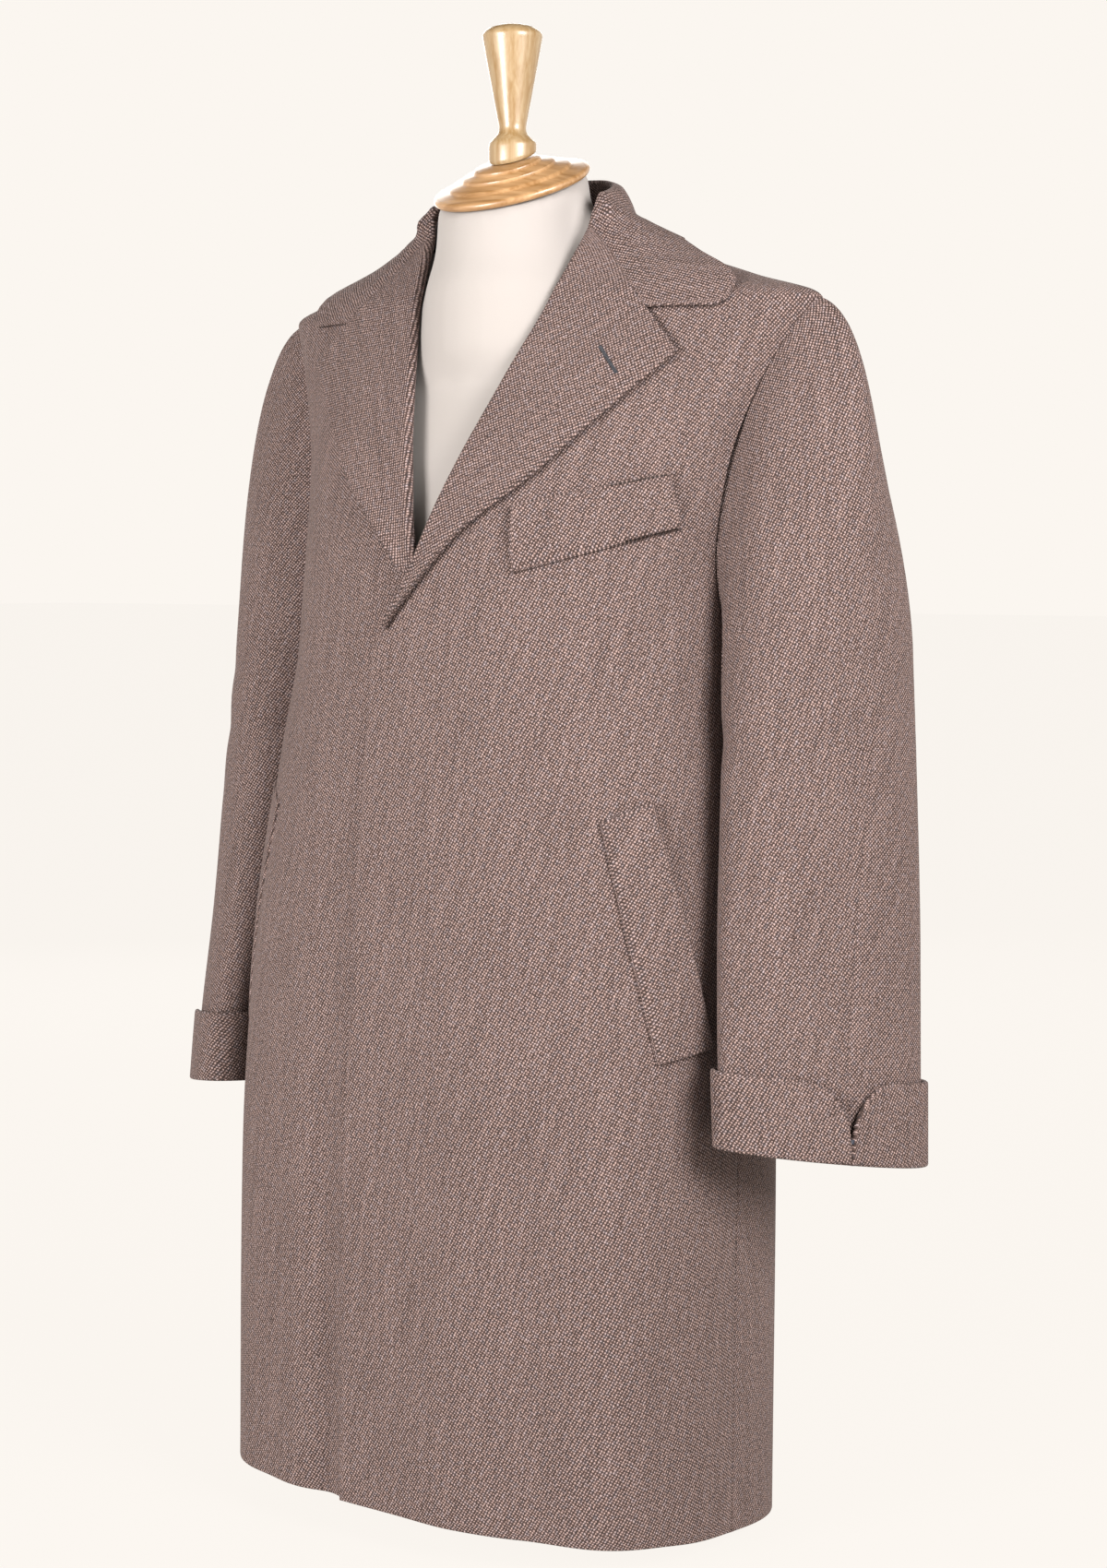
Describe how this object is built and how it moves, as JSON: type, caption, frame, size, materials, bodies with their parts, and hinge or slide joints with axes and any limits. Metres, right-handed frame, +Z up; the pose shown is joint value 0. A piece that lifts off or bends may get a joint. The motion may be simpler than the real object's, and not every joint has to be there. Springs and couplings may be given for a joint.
{
  "type": "single-breasted fly-front overcoat on a limbless dress form",
  "caption": "Knee-length wool overcoat, notch lapels, hidden fly front, slanted welt pockets, turned-back cuffs, on a limbless covered dress form with a wooden neck cap and short stand.",
  "frame": {"origin": "centre of the base plate's foot, on the floor under the form's neck", "axes": "+Z up, the coat's front faces -Y, +X is the wearer's left"},
  "size_m": [0.6632, 0.3068, 1.1217],
  "materials": {
    "wool": "matt brown and cream birdseye weave",
    "form_cloth": "matt off-white cover",
    "wood": "satin varnish",
    "painted_steel": "satin black"
  },
  "bodies": {
    "root": {"left_front": "wool", "right_front": "wool", "back": "wool", "left_lapel": "wool", "right_lapel": "wool", "collar": "wool", "breast_welt": "wool", "left_pocket_welt": "wool", "right_pocket_welt": "wool", "left_top_sleeve": "wool", "right_top_sleeve": "wool", "left_under_sleeve": "wool", "right_under_sleeve": "wool", "left_cuff": "wool", "right_cuff": "wool", "form_torso": "form_cloth", "neck_cap": "wood", "finial": "wood", "pole": "painted_steel", "base": "painted_steel"}
  },
  "joints": []
}
